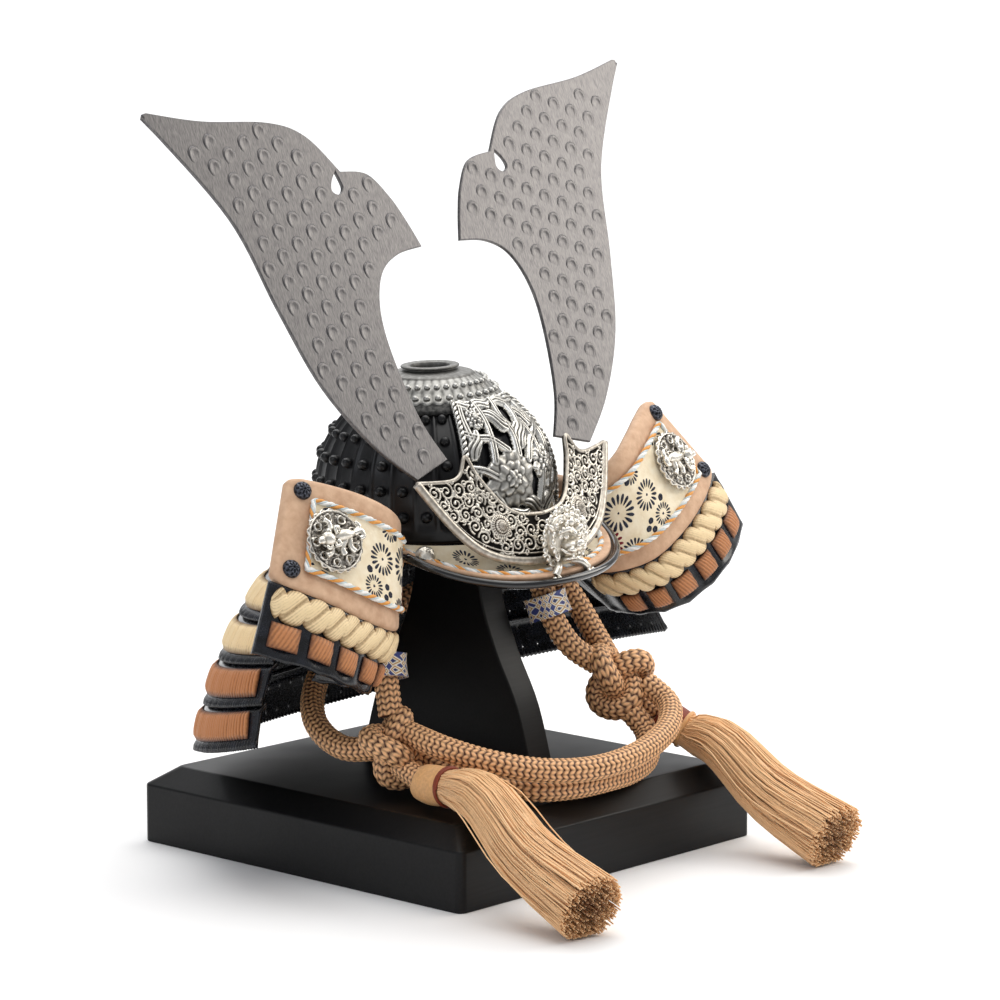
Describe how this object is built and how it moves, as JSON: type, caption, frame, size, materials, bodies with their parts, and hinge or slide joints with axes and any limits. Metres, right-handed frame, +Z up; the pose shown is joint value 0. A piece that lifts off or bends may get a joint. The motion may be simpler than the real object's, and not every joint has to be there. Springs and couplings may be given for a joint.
{
  "type": "miniature samurai helmet on a display stand",
  "caption": "Miniature display kabuto: ridged riveted bowl, tall horns, pierced front plates, printed leather turn-backs, laced neck guard and tasselled chin cord, on a plain black stand",
  "frame": {"origin": "the middle of the stand base's underside", "axes": "+Z up; the helmet faces -Y and the wearer's left is +X; longest extent along +Z"},
  "size_m": [0.2178, 0.1819, 0.2339],
  "materials": {
    "black_wood": "satin black paint",
    "black_lacquer": "semi-gloss black lacquer",
    "dark_bronze": "darkened",
    "pewter": "polished high points over dark recesses",
    "antique_silver": "antiqued",
    "bright_silver": "polished",
    "horn_metal": "embossed scale pattern",
    "tan_leather": "smooth",
    "printed_leather": "printed flowers",
    "cream_lacing": "braided",
    "brown_lacing": "braided",
    "brocade": "woven",
    "copper_cord": "round braid"
  },
  "bodies": {
    "root": {"boss_lower_left": "dark_bronze", "boss_lower_right": "dark_bronze", "boss_upper_left": "dark_bronze", "boss_upper_right": "dark_bronze", "bowl": "black_lacquer", "bowl_front_plate": "pewter", "brocade_loop_left": "brocade", "brocade_loop_right": "brocade", "chin_cord_bight": "copper_cord", "chin_cord_left_front": "copper_cord", "chin_cord_left_rear": "copper_cord", "chin_cord_rear": "copper_cord", "chin_cord_right_front": "copper_cord", "chin_cord_under_bight": "copper_cord", "crest_head": "bright_silver", "crown_ornament": "pewter", "horn_left": "horn_metal", "horn_right": "horn_metal", "horn_stand": "antique_silver", "knot_left": "copper_cord", "knot_right": "copper_cord", "laced_plate_left": "black_lacquer", "laced_plate_right": "black_lacquer", "medallion_left": "antique_silver", "medallion_right": "antique_silver", "neck_lacing_1": "cream_lacing", "neck_lacing_2": "cream_lacing", "neck_lacing_3": "cream_lacing", "neck_lacing_4": "brown_lacing", "neck_lacing_5": "brown_lacing", "neck_row_1": "black_lacquer", "neck_row_2": "black_lacquer", "neck_row_3": "black_lacquer", "neck_row_4": "black_lacquer", "neck_row_5": "black_lacquer", "rope_lacing_left": "cream_lacing", "rope_lacing_right": "cream_lacing", "square_lacing_left": "brown_lacing", "square_lacing_right": "brown_lacing", "stand_base": "black_wood", "stand_post": "black_wood", "tassel_left": "copper_cord", "tassel_right": "copper_cord", "turnback_left": "tan_leather", "turnback_print_left": "printed_leather", "turnback_print_right": "printed_leather", "turnback_right": "tan_leather", "visor_border": "tan_leather", "visor_leather": "printed_leather", "visor_plate": "black_lacquer", "visor_stud_left": "bright_silver", "visor_stud_right": "bright_silver"}
  },
  "joints": []
}
